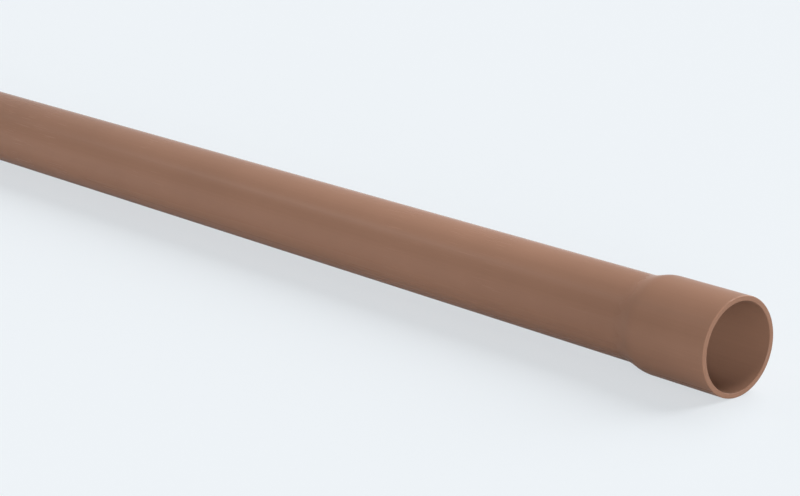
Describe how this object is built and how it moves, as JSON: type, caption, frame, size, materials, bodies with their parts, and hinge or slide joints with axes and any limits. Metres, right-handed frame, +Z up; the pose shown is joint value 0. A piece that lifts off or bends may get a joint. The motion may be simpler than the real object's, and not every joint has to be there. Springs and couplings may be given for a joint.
{
  "type": "pvc water pipe",
  "caption": "Straight rigid PVC water pipe with a formed solvent-weld socket at its belled end and a bevelled plain spigot at the other.",
  "frame": {"origin": "centre of the socket's mouth, on the pipe's axis", "axes": "+X along the pipe's axis, out of the socket's mouth, so the pipe runs towards -X; +Z up as the pipe lies in the picture; +Y level, across the pipe"},
  "size_m": [3, 0.0562, 0.0562],
  "materials": {
    "pvc": "satin"
  },
  "bodies": {
    "root": {"socketed_pipe": "pvc"}
  },
  "joints": []
}
